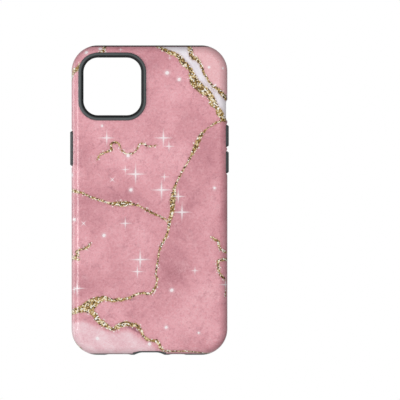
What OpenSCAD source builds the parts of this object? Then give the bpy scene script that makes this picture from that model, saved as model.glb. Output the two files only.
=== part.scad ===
// Two-layer phone case: a hard outer shell over a soft inner liner.
// All sizes in millimetres. The case stands upright: +Z runs along its length to the camera end,
// its back faces -Y, and +X is to the right when its back is seen.
// The origin is the middle of the flat face that the phone's back lies on.
// Each module works lying flat: x across, y along the length, z outward from the phone's back.

/* [Phone] */
// Length of the phone that the case fits
phone_l = 160.8; // [150:0.1:170]
// Width of the phone that the case fits
phone_w = 78.1; // [70:0.1:84]
// Thickness of the phone that the case fits
phone_t = 7.8; // [7.6:0.1:9]
// Corner radius of the phone, seen from its back
phone_corner_r = 11.1; // [9:0.1:14]

/* [Walls] */
// Thickness of the hard shell
shell_t = 1.5; // [1.4:0.1:1.8]
// Thickness of the soft liner between the shell and the phone's edge
liner_t = 1.4; // [1.4:0.1:2]
// Thickness of the soft liner behind the phone
liner_back_t = 1.3; // [1:0.1:2]
// Height of the front lip above the phone's screen
lip_h = 2.2; // [1.8:0.1:2.4]
// How far the lip reaches in over the edge of the screen, at its front
lip_reach = 1.5; // [1.2:0.1:2]
// Radius of the inside edge between the liner's back and its side walls
seat_edge_r = 2; // [1:0.5:2.5]

/* [Rounded edge] */
// How far in the back's rounding starts from the side of the case
back_run = 4.8; // [4.2:0.1:5.2]
// How far in the front's rounding starts from the side of the case
front_run = 4.1; // [3.8:0.1:4.2]
// Height of the liner strip that shows in front of the shell, along the sides
side_strip = 2.2; // [2:0.1:2.6]
// How far the shell stops short of the case's top and bottom ends
end_strip = 0.7; // [0.4:0.1:0.9]
// Radius of the shell's front corners, seen from the side
shell_corner_r = 6.4; // [5:0.1:7]

/* [Camera opening] */
// Outside width of the raised collar round the camera opening
collar_w = 36.6; // [34:0.1:38]
// Outside corner radius of the collar
collar_corner_r = 10.6; // [8:0.1:12]
// Width of the collar's ring
collar_rim = 2.8; // [2:0.1:4]
// Height of the collar above the back of the shell
collar_h = 1.6; // [0.6:0.1:2.5]
// Distance of the collar's centre left of the case's centre, seen from the back
collar_left = 20; // [19:0.1:20]
// Distance of the collar's centre above the case's centre
collar_up = 61.2; // [58:0.1:61.2]

/* [Buttons] */
// Length of the power button's pad
power_l = 19; // [14:0.5:22]
// Height of the power button's centre above the case's centre
power_up = 27.8; // [20:0.1:32]
// Length of each volume button's pad
volume_l = 12; // [9:0.5:12.5]
// Height of the upper volume button's centre above the case's centre
volume_up_at = 34.6; // [34:0.1:36]
// Height of the lower volume button's centre above the case's centre
volume_down_at = 20.4; // [18:0.1:20.5]
// Width of every pad
pad_w = 4.6; // [3.8:0.1:5]
// How far a pad stands out beyond the side of the case
pad_out = 0.75; // [0.5:0.05:1]
// Depth of the scoops in the shell round the pads
scoop_depth = 0.85; // [0.5:0.05:0.9]

/* [Edge openings] */
// Length of the mute-switch opening
mute_l = 10.8; // [8:0.1:12]
// Height of the mute-switch opening's centre above the case's centre
mute_up = 48.3; // [47.5:0.1:52]
// Width across the port opening
port_w = 14.8; // [12:0.1:15]
// Width across the speaker slot
speaker_w = 14.2; // [10:0.1:14.2]
// Distance of the speaker slot's centre left of the middle
speaker_left = 16.8; // [16.8:0.1:19]
// Width across the microphone slot
mic_w = 9.5; // [7:0.1:12]
// Distance of the microphone slot's centre right of the middle
mic_right = 15; // [14.5:0.1:18]

/* [Hidden] */

// Flat steps in each quarter of the case's rounded edge, and in a full turn of the other rounds.
edge_steps = 12;
$fn = 96;
// Margin by which a cutting shape runs past what it cuts.
past = 1;

// Outside of the whole case.
wall_t = shell_t + liner_t;
case_l = phone_l + 2 * wall_t;
case_w = phone_w + 2 * wall_t;
corner_r = phone_corner_r + wall_t;
back_z = liner_back_t + shell_t;
front_z = -phone_t - lip_h;
mid_z = (back_z + front_z) / 2;
half_t = (back_z - front_z) / 2;

// The surface between shell and liner: it comes in less at the front, so that the shell keeps its edge.
inner_back_run = back_run - shell_t;
inner_front_run = 0.55 * front_run;

// The shell stops here at the front.
shell_front_z = front_z + side_strip;
shell_end = case_l / 2 - end_strip;

// Slope of the lip's inside, from the screen to the front.
lip_draft = 0.3;

// Pads: a flange behind the shell, longer than the pad, holds each one in, with gaps that let it travel.
pad_r = pad_w / 2;
pad_bevel = 0.75;
pad_bevel_h = 0.85;
pad_gap = 0.25;
flange_over = 0.45;
flange_t = 0.45;
flange_out_depth = shell_t + 0.42;
pad_in_depth = flange_out_depth + flange_t;

// Scoops round the pads.
scoop_power_floor = power_l - 2.2;
scoop_volume_floor = volume_l - 1.4;
scoop_power_slope = 2.4;
scoop_volume_slope = 1.8;

// Edge openings: heights through the thickness, all inside the phone's own thickness.
mute_h = 7.2;
mute_corner_r = 1.5;
port_h = 7.6;
port_recess = 0.75;
port_recess_depth = 1.3;
slot_h = 5.2;
opening_z = -phone_t / 2 + 0.1;
// The shell stays this far back from the liner's port and slots.
port_rim = 1.2;
port_rim_r = 2.5;
slot_rim = 0.5;
// The shell's back edge steps in over the port, where the liner shows.
step_w = port_w + 2 * port_rim + 0.8;
step_slant = 3.6;
step_start = 1.2;
step_end = 2.05;
// How far in from the side every edge opening runs.
opening_depth = wall_t + seat_edge_r;

// Points of the rounded edge, [distance in from the side, height], from the back to the front.
function edge_curve(inset, back_rise, back_in, front_rise, front_in) = concat(
    [for (i = [0 : edge_steps]) let (a = 90 * (1 - i / edge_steps))
        [inset + back_in * (1 - cos(a)), mid_z + back_rise * sin(a)]],
    [for (i = [1 : edge_steps]) let (a = 90 * i / edge_steps)
        [inset + front_in * (1 - cos(a)), mid_z - front_rise * sin(a)]]
);

function seat_curve() = [for (i = [0 : edge_steps / 2]) let (a = 90 * i / (edge_steps / 2))
    [wall_t + seat_edge_r * (1 - sin(a)), -seat_edge_r * (1 - cos(a))]];

function room_curve() = concat(
    seat_curve(),
    [
        [wall_t, -phone_t],
        [wall_t + lip_reach + lip_draft, -phone_t],
        [wall_t + lip_reach, front_z],
        [wall_t + lip_reach, front_z - past]
    ]
);

function mirrored(points) = [for (i = [len(points) - 1 : -1 : 0]) [-points[i][0], points[i][1]]];

// Section right across a case-shaped solid, half_w from its middle to its side.
module section(curve, half_w) {
    side = [for (p = curve) [half_w - p[0], p[1]]];
    polygon(concat(side, mirrored(side)));
}

// Solid with the case's plan outline, whose edge follows a curve all round.
module case_solid(curve) {
    rotate([90, 0, 0])
        linear_extrude(height = case_l - 2 * corner_r, center = true)
            section(curve, case_w / 2);
    rotate([90, 0, 90])
        linear_extrude(height = case_w - 2 * corner_r, center = true)
            section(curve, case_l / 2);
    for (quarter = [0 : 3]) {
        sx = (quarter == 0 || quarter == 3) ? 1 : -1;
        sy = quarter < 2 ? 1 : -1;
        translate([sx * (case_w / 2 - corner_r), sy * (case_l / 2 - corner_r), 0])
            rotate([0, 0, 90 * quarter])
                rotate_extrude(angle = 90)
                    corner_section(curve);
    }
}

module corner_section(curve) {
    side = [for (p = curve) [corner_r - p[0], p[1]]];
    last = len(side) - 1;
    polygon(concat(side, [[0, side[last][1]], [0, side[0][1]]]));
}

module outer_form() {
    case_solid(edge_curve(0, half_t, back_run, half_t, front_run));
}

module inner_form() {
    case_solid(edge_curve(shell_t, half_t - shell_t, inner_back_run, half_t, inner_front_run));
}

module phone_room() {
    case_solid(room_curve());
}

// Flat outline with two round ends, long along y.
module pill(straight, r) {
    square([2 * r, straight], center = true);
    translate([0, straight / 2])
        circle(r = r);
    translate([0, -straight / 2])
        circle(r = r);
}

module rounded_square(w, h, r) {
    square([w - 2 * r, h], center = true);
    square([w, h - 2 * r], center = true);
    for (sx = [-1, 1], sy = [-1, 1])
        translate([sx * (w / 2 - r), sy * (h / 2 - r)])
            circle(r = r);
}

// Carries a flat shape to one side of the case, standing out along x. side is 1 or -1.
module on_side(side, up, z, depth) {
    translate([side * (case_w / 2 - depth), up, z])
        rotate([0, side * 90, 0])
            children();
}

// Pill-shaped cut through a side wall, from a depth to outside of the case.
module side_cut(side, up, l, r, depth) {
    on_side(side, up, mid_z, depth)
        linear_extrude(height = depth + past)
            pill(l, r);
}

// Pill-shaped cut through the bottom wall, long across the case.
module bottom_cut(x, w, h, depth) {
    translate([x, -case_l / 2 + depth, opening_z])
        rotate([90, 0, 0])
            linear_extrude(height = depth + past)
                rotate([0, 0, 90])
                    pill(w - h, h / 2);
}

// Clearance for the port, in the shell: through the end wall, and a step in the back edge.
module shell_port_cut() {
    wall_h = port_h + 2 * port_rim;
    translate([0, -case_l / 2 + opening_depth, opening_z])
        rotate([90, 0, 0])
            linear_extrude(height = opening_depth + past)
                rounded_square(port_w + 2 * port_rim, wall_h, port_rim_r);
    translate([0, -case_l / 2, opening_z + wall_h / 2 - port_rim_r])
        linear_extrude(height = 2 * half_t)
            polygon([
                [-step_w / 2, -past],
                [step_w / 2, -past],
                [step_w / 2, step_start],
                [step_w / 2 - step_slant, step_end],
                [step_slant - step_w / 2, step_end],
                [-step_w / 2, step_start]
            ]);
}

// Flat-bottomed scoop in a side, with a sloped end each way.
module scoop(side, up, floor_l, slope) {
    rise = scoop_depth + past;
    reach = floor_l / 2 + slope * rise / scoop_depth;
    translate([side * (case_w / 2 - scoop_depth), up, mid_z])
        linear_extrude(height = 2 * half_t + 2 * past, center = true)
            polygon([
                [0, -floor_l / 2],
                [side * rise, -reach],
                [side * rise, reach],
                [0, floor_l / 2]
            ]);
}

// Everything that the shell may fill: behind its front edge, outside the liner, clear of the port and slots.
module shell_zone() {
    depth = back_z + past - shell_front_z;
    difference() {
        rotate([90, 0, 90])
            linear_extrude(height = case_w + 2 * past, center = true)
                union() {
                    translate([-shell_end, shell_front_z + shell_corner_r])
                        square([2 * shell_end, depth - shell_corner_r]);
                    translate([-shell_end + shell_corner_r, shell_front_z])
                        square([2 * (shell_end - shell_corner_r), depth]);
                    for (s = [-1, 1])
                        translate([s * (shell_end - shell_corner_r), shell_front_z + shell_corner_r])
                            circle(r = shell_corner_r);
                }
        inner_form();
        shell_port_cut();
        bottom_cut(-speaker_left, speaker_w + 2 * slot_rim, slot_h + 2 * slot_rim, opening_depth);
        bottom_cut(mic_right, mic_w + 2 * slot_rim, slot_h + 2 * slot_rim, opening_depth);
    }
}

module collar_outline() {
    translate([-collar_left, collar_up])
        rounded_square(collar_w, collar_w, collar_corner_r);
}

module outer_shell() {
    color([0.87, 0.62, 0.66])
        rotate([90, 0, 0])
            difference() {
                intersection() {
                    outer_form();
                    shell_zone();
                }
                linear_extrude(height = back_z + past)
                    collar_outline();
                side_cut(-1, power_up, power_l - pad_w, pad_r + pad_gap, wall_t);
                side_cut(1, volume_up_at, volume_l - pad_w, pad_r + pad_gap, wall_t);
                side_cut(1, volume_down_at, volume_l - pad_w, pad_r + pad_gap, wall_t);
                scoop(-1, power_up, scoop_power_floor, scoop_power_slope);
                scoop(1, volume_up_at, scoop_volume_floor, scoop_volume_slope);
                scoop(1, volume_down_at, scoop_volume_floor, scoop_volume_slope);
                mute_notch();
            }
}

// The shell's mute-switch cut is open towards the front.
module mute_notch() {
    mute_cut(opening_depth);
    translate([case_w / 2 - opening_depth, mute_up - mute_l / 2, front_z])
        cube([opening_depth + past, mute_l, opening_z - front_z]);
}

module mute_cut(depth) {
    on_side(1, mute_up, opening_z, depth)
        linear_extrude(height = depth + past)
            rounded_square(mute_h, mute_l, mute_corner_r);
}

// Window in the liner for a pad and its flange.
module pad_window(side, up, l) {
    side_cut(side, up, l - pad_w + 2 * flange_over, pad_r + pad_gap, opening_depth);
}

module inner_liner() {
    color([0.27, 0.29, 0.30])
        rotate([90, 0, 0])
            difference() {
                outer_form();
                shell_zone();
                phone_room();
                translate([0, 0, -past])
                    linear_extrude(height = back_z + 2 * past)
                        collar_outline();
                pad_window(-1, power_up, power_l);
                pad_window(1, volume_up_at, volume_l);
                pad_window(1, volume_down_at, volume_l);
                mute_cut(opening_depth);
                bottom_cut(0, port_w, port_h, opening_depth);
                bottom_cut(0, port_w + 2 * port_recess, port_h + 2 * port_recess, port_recess_depth);
                bottom_cut(-speaker_left, speaker_w, slot_h, opening_depth);
                bottom_cut(mic_right, mic_w, slot_h, opening_depth);
            }
}

// Section of the collar's ring, x outward from the middle of its rim.
module collar_section() {
    top = back_z + collar_h;
    outer_round = 1.1;
    inner_round = min(1, collar_rim - outer_round - 0.1);
    steps = 6;
    polygon(concat(
        [[-collar_rim / 2, 0], [collar_rim / 2, 0]],
        [for (i = [0 : steps]) let (a = 90 * i / steps)
            [collar_rim / 2 - outer_round * (1 - cos(a)), top - outer_round * (1 - sin(a))]],
        [for (i = [0 : steps]) let (a = 90 * i / steps)
            [-collar_rim / 2 + inner_round * (1 - sin(a)), top - inner_round * (1 - cos(a))]]
    ));
}

module camera_collar() {
    half = collar_w / 2;
    straight = collar_w - 2 * collar_corner_r;
    rim_mid = collar_rim / 2;
    color([0.27, 0.29, 0.30])
        rotate([90, 0, 0])
            translate([-collar_left, collar_up, 0])
                for (quarter = [0 : 3])
                    rotate([0, 0, 90 * quarter]) {
                        translate([half - rim_mid, 0, 0])
                            rotate([90, 0, 0])
                                linear_extrude(height = straight, center = true)
                                    collar_section();
                        translate([half - collar_corner_r, half - collar_corner_r, 0])
                            rotate_extrude(angle = 90)
                                translate([collar_corner_r - rim_mid, 0])
                                    collar_section();
                    }
}

// Half section of a pad, x from its middle line, y outward from its inner face.
function pad_curve() = [
    [pad_r, 0],
    [pad_r, pad_in_depth + pad_out - pad_bevel_h],
    [pad_r - pad_bevel, pad_in_depth + pad_out]
];

module pad(l) {
    straight = l - pad_w;
    last = len(pad_curve()) - 1;
    linear_extrude(height = flange_t)
        pill(straight + 2 * flange_over, pad_r);
    rotate([90, 0, 0])
        linear_extrude(height = straight, center = true)
            polygon(concat(pad_curve(), mirrored(pad_curve())));
    for (turn = [0, 180])
        rotate([0, 0, turn])
            translate([0, straight / 2, 0])
                rotate_extrude(angle = 180)
                    polygon(concat(pad_curve(), [[0, pad_curve()[last][1]], [0, 0]]));
}

module button(side, up, l) {
    color([0.33, 0.34, 0.35])
        rotate([90, 0, 0])
            on_side(side, up, mid_z, pad_in_depth)
                pad(l);
}

module power_button() {
    button(-1, power_up, power_l);
}

module volume_up_button() {
    button(1, volume_up_at, volume_l);
}

module volume_down_button() {
    button(1, volume_down_at, volume_l);
}

outer_shell();
inner_liner();
camera_collar();
power_button();
volume_up_button();
volume_down_button();
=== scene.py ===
import math

import bmesh
import bpy
import numpy as np
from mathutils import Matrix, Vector


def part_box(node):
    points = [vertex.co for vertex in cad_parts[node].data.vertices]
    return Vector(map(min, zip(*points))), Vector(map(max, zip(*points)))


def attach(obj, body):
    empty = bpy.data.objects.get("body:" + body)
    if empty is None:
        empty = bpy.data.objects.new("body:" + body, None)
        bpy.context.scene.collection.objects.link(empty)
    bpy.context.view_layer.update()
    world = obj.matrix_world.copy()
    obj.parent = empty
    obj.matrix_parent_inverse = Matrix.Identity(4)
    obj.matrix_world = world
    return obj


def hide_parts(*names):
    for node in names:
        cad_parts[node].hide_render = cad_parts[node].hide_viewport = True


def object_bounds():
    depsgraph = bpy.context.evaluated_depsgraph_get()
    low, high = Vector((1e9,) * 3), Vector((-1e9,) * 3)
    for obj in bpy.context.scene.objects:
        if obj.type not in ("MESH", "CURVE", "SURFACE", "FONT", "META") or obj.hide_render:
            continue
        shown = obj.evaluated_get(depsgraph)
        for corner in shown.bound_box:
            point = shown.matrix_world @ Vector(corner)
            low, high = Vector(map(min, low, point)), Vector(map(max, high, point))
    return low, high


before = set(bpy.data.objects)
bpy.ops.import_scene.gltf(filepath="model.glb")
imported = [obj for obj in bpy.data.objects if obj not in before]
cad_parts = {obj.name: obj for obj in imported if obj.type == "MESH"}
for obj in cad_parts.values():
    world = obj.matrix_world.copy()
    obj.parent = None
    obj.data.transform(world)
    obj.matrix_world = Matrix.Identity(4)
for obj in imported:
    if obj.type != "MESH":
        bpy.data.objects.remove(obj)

MM = 0.001


def flat_box(node):
    """A CAD node's box in the flat axes and millimetres, as ((x, x), (y, y), (z, z))."""
    low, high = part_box(node)
    return (low.x / MM, high.x / MM), (low.z / MM, high.z / MM), (-high.y / MM, -low.y / MM)


# ---- Sizes that come from the frame ----
SHELL_X, SHELL_Y, SHELL_Z = flat_box("outer_shell")
_, LINER_Y, LINER_Z = flat_box("inner_liner")
COLLAR_X, COLLAR_Y, COLLAR_Z = flat_box("camera_collar")
HALF_W = SHELL_X[1]
HALF_L = LINER_Y[1]
BACK_Z = SHELL_Z[1]
FRONT_Z = LINER_Z[0]
MID_Z = (BACK_Z + FRONT_Z) / 2
HALF_T = (BACK_Z - FRONT_Z) / 2
SHELL_FRONT_Z = SHELL_Z[0]
SHELL_END = SHELL_Y[1]

# ---- Sizes of the case's section, as in the CAD ----
CORNER_R = 14.0
SHELL_T = 1.5
# Shell and liner together.
WALL_T = 2.9
# How far in from the side the rounded edge reaches, on the back and on the front.
BACK_RUN = 4.8
FRONT_RUN = 4.1
INNER_FRONT_RUN = 0.55 * FRONT_RUN
PHONE_T = 7.8
LIP_REACH = 1.5
LIP_DRAFT = 0.3
SEAT_EDGE_R = 2.0
SHELL_CORNER_R = 6.4
COLLAR_RIM = 2.8
COLLAR_CORNER_R = 10.6
PAD_W = 4.6
PAD_GAP = 0.25
FLANGE_OVER = 0.45
SCOOP_DEPTH = 0.85
# How much shorter than its pad a scoop's floor is, and the length of its slopes.
POWER_SCOOP = (2.2, 2.4)
VOLUME_SCOOP = (1.4, 1.8)
MUTE_CORNER_R = 1.5
# The shell's camera opening is cut from this height outward.
CAMERA_CUT_Z = 0.5
# The soft liner's fine gap to the shell, at the seam, at the surface between and at the notches.
SEAM_GAP = 0.12
SURFACE_GAP = 0.02
NOTCH_GAP = 0.1
OPENING_DEPTH = WALL_T + SEAT_EDGE_R
OPENING_Z = -PHONE_T / 2 + 0.1
# How far cutting shapes run past what they cut.
PAST = 1.0

# Half sizes of the rectangle that the corners turn about.
CORE_X = HALF_W - CORNER_R
CORE_Y = HALF_L - CORNER_R
EDGE_STEPS = 28
CORNER_STEPS = 28
# Spacing of the dense mesh that carries the printed pattern, and of the plain one.
PRINT_STEP = 0.8
PLAIN_STEP = 4.0


# ---- Mesh helpers ----
def to_row(points):
    """Flat millimetres to the row frame's metres."""
    p = np.asarray(points, float).reshape(-1, 3)
    return np.stack([p[:, 0], -p[:, 2], p[:, 1]], 1) * MM


def to_flat(points):
    """Row-frame metres to flat millimetres."""
    p = np.asarray(points, float).reshape(-1, 3)
    return np.stack([p[:, 0], p[:, 2], -p[:, 1]], 1) / MM


def make_mesh(name, points, faces):
    mesh = bpy.data.meshes.new(name)
    mesh.from_pydata([tuple(p) for p in to_row(points)], [], faces)
    bm = bmesh.new()
    bm.from_mesh(mesh)
    bmesh.ops.remove_doubles(bm, verts=bm.verts, dist=1e-7)
    bmesh.ops.recalc_face_normals(bm, faces=bm.faces)
    bm.to_mesh(mesh)
    bm.free()
    obj = bpy.data.objects.new(name, mesh)
    bpy.context.scene.collection.objects.link(obj)
    return obj


def rows_of(items, name):
    """A property of every vertex or polygon that has three numbers, as rows."""
    values = np.empty(len(items) * 3)
    items.foreach_get(name, values)
    return values.reshape(-1, 3)


def store(mesh, name, values):
    """Keeps three numbers for every vertex, for the materials to read."""
    attribute = mesh.attributes.new(name, "FLOAT_VECTOR", "POINT")
    attribute.data.foreach_set("vector", np.ravel(values).astype("f"))


def combine(obj, other, operation):
    """Boolean of obj with other, which is used up."""
    modifier = obj.modifiers.new("cut", "BOOLEAN")
    modifier.operation = operation
    modifier.solver = "MANIFOLD"
    modifier.object = other
    depsgraph = bpy.context.evaluated_depsgraph_get()
    made = bpy.data.meshes.new_from_object(obj.evaluated_get(depsgraph))
    obj.modifiers.clear()
    old = obj.data
    obj.data = made
    bpy.data.meshes.remove(old)
    bpy.data.meshes.remove(other.data)


def cut(obj, other):
    combine(obj, other, "DIFFERENCE")


def keep(obj, other):
    combine(obj, other, "INTERSECT")


# ---- The case's rounded form ----
def edge_curve(inset, back_rise, back_run, front_rise, front_run):
    """Points of the rounded edge, (distance in from the side, height), from the back to the front."""
    turn = np.linspace(math.pi / 2, 0, EDGE_STEPS + 1)
    back = [(inset + back_run * (1 - math.cos(a)), MID_Z + back_rise * math.sin(a)) for a in turn]
    front = [
        (inset + front_run * (1 - math.cos(a)), MID_Z - front_rise * math.sin(a)) for a in turn[::-1][1:]
    ]
    return back + front


def perimeter(step):
    """Once round the case: centres that the outline turns about, and outward directions."""
    centres, outward = [], []
    across = max(1, round(2 * CORE_X / step))
    along = max(1, round(2 * CORE_Y / step))
    for quarter, (sx, sy) in enumerate(((1, 1), (-1, 1), (-1, -1), (1, -1))):
        for i in range(CORNER_STEPS + 1):
            a = math.radians(90 * (quarter + i / CORNER_STEPS))
            centres.append((sx * CORE_X, sy * CORE_Y))
            outward.append((math.cos(a), math.sin(a)))
        here = np.array(centres[-1])
        sideways = np.array((-math.sin(a), math.cos(a)))
        travel, straight = (2 * CORE_X, across) if quarter % 2 == 0 else (2 * CORE_Y, along)
        for i in range(1, straight):
            centres.append(tuple(here + sideways * travel * i / straight))
            outward.append(outward[-1])
    return np.array(centres), np.array(outward), across, along


def case_solid(name, curve, step=1000.0, grid=False):
    """Closed solid with the case's plan outline and an edge that follows curve. With grid, the back is a
    fine net all over."""
    centres, outward, across, along = perimeter(step)
    n = len(centres)
    rings = list(curve)
    if grid:
        inward = np.arange(curve[0][0] + step, CORNER_R, step)
        rings = [(CORNER_R, curve[0][1])] + [(i, curve[0][1]) for i in inward[::-1]] + rings
    points = []
    for inset, z in rings:
        ring = centres + (CORNER_R - inset) * outward
        points += [(x, y, z) for x, y in ring]
    faces = []
    for k in range(len(rings) - 1):
        for i in range(n):
            j = (i + 1) % n
            faces.append((k * n + i, k * n + j, (k + 1) * n + j, (k + 1) * n + i))
    faces.append(tuple((len(rings) - 1) * n + i for i in range(n)))
    if grid:
        base = len(points)
        xs = np.linspace(-CORE_X, CORE_X, across + 1)
        ys = np.linspace(-CORE_Y, CORE_Y, along + 1)
        points += [(x, y, curve[0][1]) for y in ys for x in xs]
        w = across + 1
        for r in range(along):
            for c in range(across):
                a = base + r * w + c
                faces.append((a, a + 1, a + w + 1, a + w))
    else:
        faces.append(tuple(range(n)))
    return make_mesh(name, points, faces)


def outer_form(name, **dense):
    """The case's outside."""
    return case_solid(name, edge_curve(0, HALF_T, BACK_RUN, HALF_T, FRONT_RUN), **dense)


def inner_form(name, grow=0.0):
    """The surface between shell and liner. grow moves it outward."""
    return case_solid(
        name,
        edge_curve(SHELL_T - grow, HALF_T - SHELL_T + grow, BACK_RUN - SHELL_T, HALF_T, INNER_FRONT_RUN),
    )


def phone_room(name):
    """The space the phone fills, with the lip's opening in front of it."""
    turn = np.linspace(0, math.pi / 2, 9)
    curve = [
        (WALL_T + SEAT_EDGE_R * (1 - math.sin(a)), -SEAT_EDGE_R * (1 - math.cos(a))) for a in turn
    ]
    lip_in = WALL_T + LIP_REACH
    ease = np.linspace(0, math.pi / 2, 7)
    lip_round = 0.25
    curve += [(WALL_T, -PHONE_T), (lip_in + LIP_DRAFT, -PHONE_T)]
    curve += [
        (lip_in - lip_round * (1 - math.cos(a)), FRONT_Z + lip_round - lip_round * math.sin(a)) for a in ease
    ]
    curve += [(lip_in - lip_round, FRONT_Z - PAST)]
    return case_solid(name, curve)


# ---- Straight cutting shapes ----
def prism(name, outline, low, high, axis):
    """An outline run from low to high along x, y or z. The outline's own axes are the other two, in order."""
    order = {"x": (2, 0, 1), "y": (0, 2, 1), "z": (0, 1, 2)}[axis]
    points = []
    for level in (low, high):
        points += [tuple((u, v, level)[k] for k in order) for u, v in outline]
    n = len(outline)
    faces = [tuple(range(n)), tuple(range(n, 2 * n))]
    faces += [(i, (i + 1) % n, n + (i + 1) % n, n + i) for i in range(n)]
    return make_mesh(name, points, faces)


def arc(cx, cy, r, start, stop, steps=16):
    angles = np.radians(np.linspace(start, stop, steps + 1))
    return [(cx + r * math.cos(a), cy + r * math.sin(a)) for a in angles]


def rounded(cx, cy, w, h, r):
    """Outline of a rectangle with round corners."""
    x, y = w / 2 - r, h / 2 - r
    return (
        arc(cx + x, cy + y, r, 0, 90)
        + arc(cx - x, cy + y, r, 90, 180)
        + arc(cx - x, cy - y, r, 180, 270)
        + arc(cx + x, cy - y, r, 270, 360)
    )


def pill(cx, cy, w, h):
    """Outline with two round ends."""
    return rounded(cx, cy, w, h, min(w, h) / 2 - 1e-3)


def side_prism(name, side, outline, depth):
    """Cut through a side wall, from a depth to outside. The outline is in (y, z). side is 1 or -1."""
    ends = sorted((side * (HALF_W - depth), side * (HALF_W + PAST)))
    return prism(name, outline, ends[0], ends[1], "x")


def bottom_prism(name, outline, depth):
    """Cut through the bottom wall. The outline is in (x, z)."""
    return prism(name, outline, -HALF_L - PAST, -HALF_L + depth, "y")


# ---- Where the openings and pads are ----
def pad_place(node):
    """(side, middle height, length of the pad) of a button."""
    (x0, x1), (y0, y1), _ = flat_box(node)
    return (1 if x0 > 0 else -1), (y0 + y1) / 2, y1 - y0 - 2 * FLANGE_OVER


PADS = {n: pad_place(n) for n in ("power_button", "volume_up_button", "volume_down_button")}
COLLAR_MID = ((COLLAR_X[0] + COLLAR_X[1]) / 2, (COLLAR_Y[0] + COLLAR_Y[1]) / 2)
COLLAR_W = COLLAR_X[1] - COLLAR_X[0]
MUTE_Y, MUTE_L, MUTE_H = 48.3, 10.8, 7.2
# (x, width, height) of the port and of the two slots beside it.
PORT = (0.0, 14.8, 7.6)
SLOTS = ((-16.8, 14.2, 5.2), (15.0, 9.5, 5.2))
# The shell's notches reach this far past the openings.
PORT_RIM, PORT_RIM_R, SLOT_RIM = 1.2, 2.5, 0.5
PORT_RECESS, PORT_RECESS_DEPTH = 0.75, 1.3
# The step in the shell's back edge over the port.
STEP_OVER, STEP_SLANT, STEP_START, STEP_END = 0.4, 3.6, 1.2, 2.05


def camera_hole(low):
    """Cutter for the camera opening, from low outward."""
    outline = rounded(*COLLAR_MID, COLLAR_W, COLLAR_W, COLLAR_CORNER_R)
    return prism("camera", outline, low, BACK_Z + PAST, "z")


def mute_hole():
    """Cutter for the opening over the mute switch."""
    outline = rounded(MUTE_Y, OPENING_Z, MUTE_L, MUTE_H, MUTE_CORNER_R)
    return side_prism("mute", 1, outline, OPENING_DEPTH)


def shell_zone(name, grow=0.0):
    """Everything behind the shell's front edge. grow moves that edge forward, to leave a fine seam."""
    end, front, r = SHELL_END + grow, SHELL_FRONT_Z - grow, SHELL_CORNER_R + grow
    outline = (
        [(end, BACK_Z + PAST), (-end, BACK_Z + PAST)]
        + arc(-end + r, front + r, r, 180, 270, 28)
        + arc(end - r, front + r, r, 270, 360, 28)
    )
    return prism(name, outline, -HALF_W - PAST, HALF_W + PAST, "x")


def bottom_notches(grow=0.0):
    """Cutters for the shell's notches round the port and the two slots, and its step over the port."""
    x, w, h = PORT
    rim = 2 * (PORT_RIM + grow)
    outline = rounded(x, OPENING_Z, w + rim, h + rim, PORT_RIM_R)
    yield bottom_prism("notch", outline, OPENING_DEPTH + grow)
    foot, end = w / 2 + PORT_RIM + STEP_OVER + grow, -HALF_L
    step = [
        (-foot, end - PAST),
        (foot, end - PAST),
        (foot, end + STEP_START + grow),
        (foot - STEP_SLANT, end + STEP_END + grow),
        (STEP_SLANT - foot, end + STEP_END + grow),
        (-foot, end + STEP_START + grow),
    ]
    yield prism("step", step, OPENING_Z + h / 2 + PORT_RIM - PORT_RIM_R, BACK_Z + PAST, "z")
    for x, w, h in SLOTS:
        rim = 2 * (SLOT_RIM + grow)
        yield bottom_prism("notch", pill(x, OPENING_Z, w + rim, h + rim), OPENING_DEPTH)


def scoop(side, y, length, floor_cut, slope):
    """Cutter for the shallow dip in the side round a pad."""
    floor = (length - floor_cut) / 2
    rise = SCOOP_DEPTH + PAST
    reach = floor + slope * rise / SCOOP_DEPTH
    x0, x1 = side * (HALF_W - SCOOP_DEPTH), side * (HALF_W + PAST)
    outline = [(x0, y - floor), (x1, y - reach), (x1, y + reach), (x0, y + floor)]
    return prism("scoop", outline, FRONT_Z - PAST, BACK_Z + PAST, "z")


# ---- Smooth shading ----
def form_normals(flat):
    """Outward directions of the outer form at points in flat millimetres, and how far each lies from it."""
    x, y, z = flat.T
    dx, dy = np.maximum(np.abs(x) - CORE_X, 0), np.maximum(np.abs(y) - CORE_Y, 0)
    reach = np.hypot(dx, dy)
    safe = np.maximum(reach, 1e-9)
    nx, ny = np.sign(x) * dx / safe, np.sign(y) * dy / safe
    inset = CORNER_R - reach
    above = z >= MID_Z
    run = np.where(above, BACK_RUN, FRONT_RUN)
    c = np.clip(1 - inset / run, 0, 1)
    s = np.sqrt(1 - c * c)
    away = np.abs(np.abs(z - MID_Z) - HALF_T * s)
    near_side = c > 0.985
    s_side = np.clip(np.abs(z - MID_Z) / HALF_T, 0, 1)
    c_side = np.sqrt(1 - s_side**2)
    side_off = np.abs(inset - run * (1 - c_side))
    s, c = np.where(near_side, s_side, s), np.where(near_side, c_side, c)
    away = np.where(near_side, side_off, away)
    vx, vz = c / run, s / HALF_T * np.where(above, 1, -1)
    size = np.hypot(vx, vz)
    return np.stack([nx * vx / size, ny * vx / size, vz / size], 1), away


def corners_of(mesh):
    """Vertex and face of every face corner."""
    vertex = np.empty(len(mesh.loops), int)
    mesh.loops.foreach_get("vertex_index", vertex)
    total = np.empty(len(mesh.polygons), int)
    mesh.polygons.foreach_get("loop_total", total)
    return vertex, np.repeat(np.arange(len(total)), total)


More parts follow.
